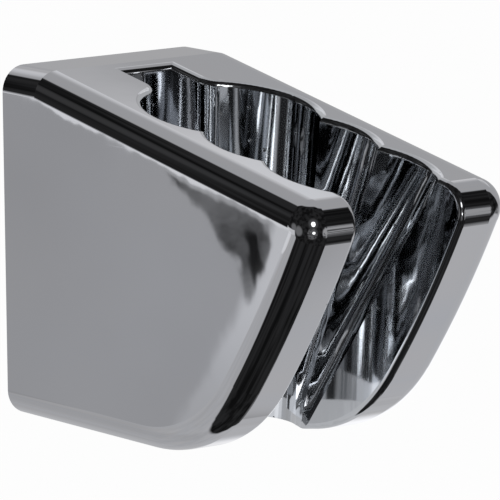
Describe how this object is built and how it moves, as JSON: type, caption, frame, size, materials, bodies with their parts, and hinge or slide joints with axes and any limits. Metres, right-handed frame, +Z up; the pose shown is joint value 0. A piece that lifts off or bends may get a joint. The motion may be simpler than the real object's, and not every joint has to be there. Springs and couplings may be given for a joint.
{
  "type": "hand shower wall holder",
  "caption": "Fixed wall holder for a hand shower: wedge body with overlapping conical seats at different tilts and an open hose slot.",
  "frame": {"origin": "middle of the wall face, halfway between the two fixing screws", "axes": "+Y into the wall, so the holder reaches out to -Y; +X across; +Z up"},
  "size_m": [0.0362, 0.0739, 0.052],
  "materials": {
    "chrome": "mirror-bright chrome plating"
  },
  "bodies": {
    "root": {"holder": "chrome"}
  },
  "joints": []
}
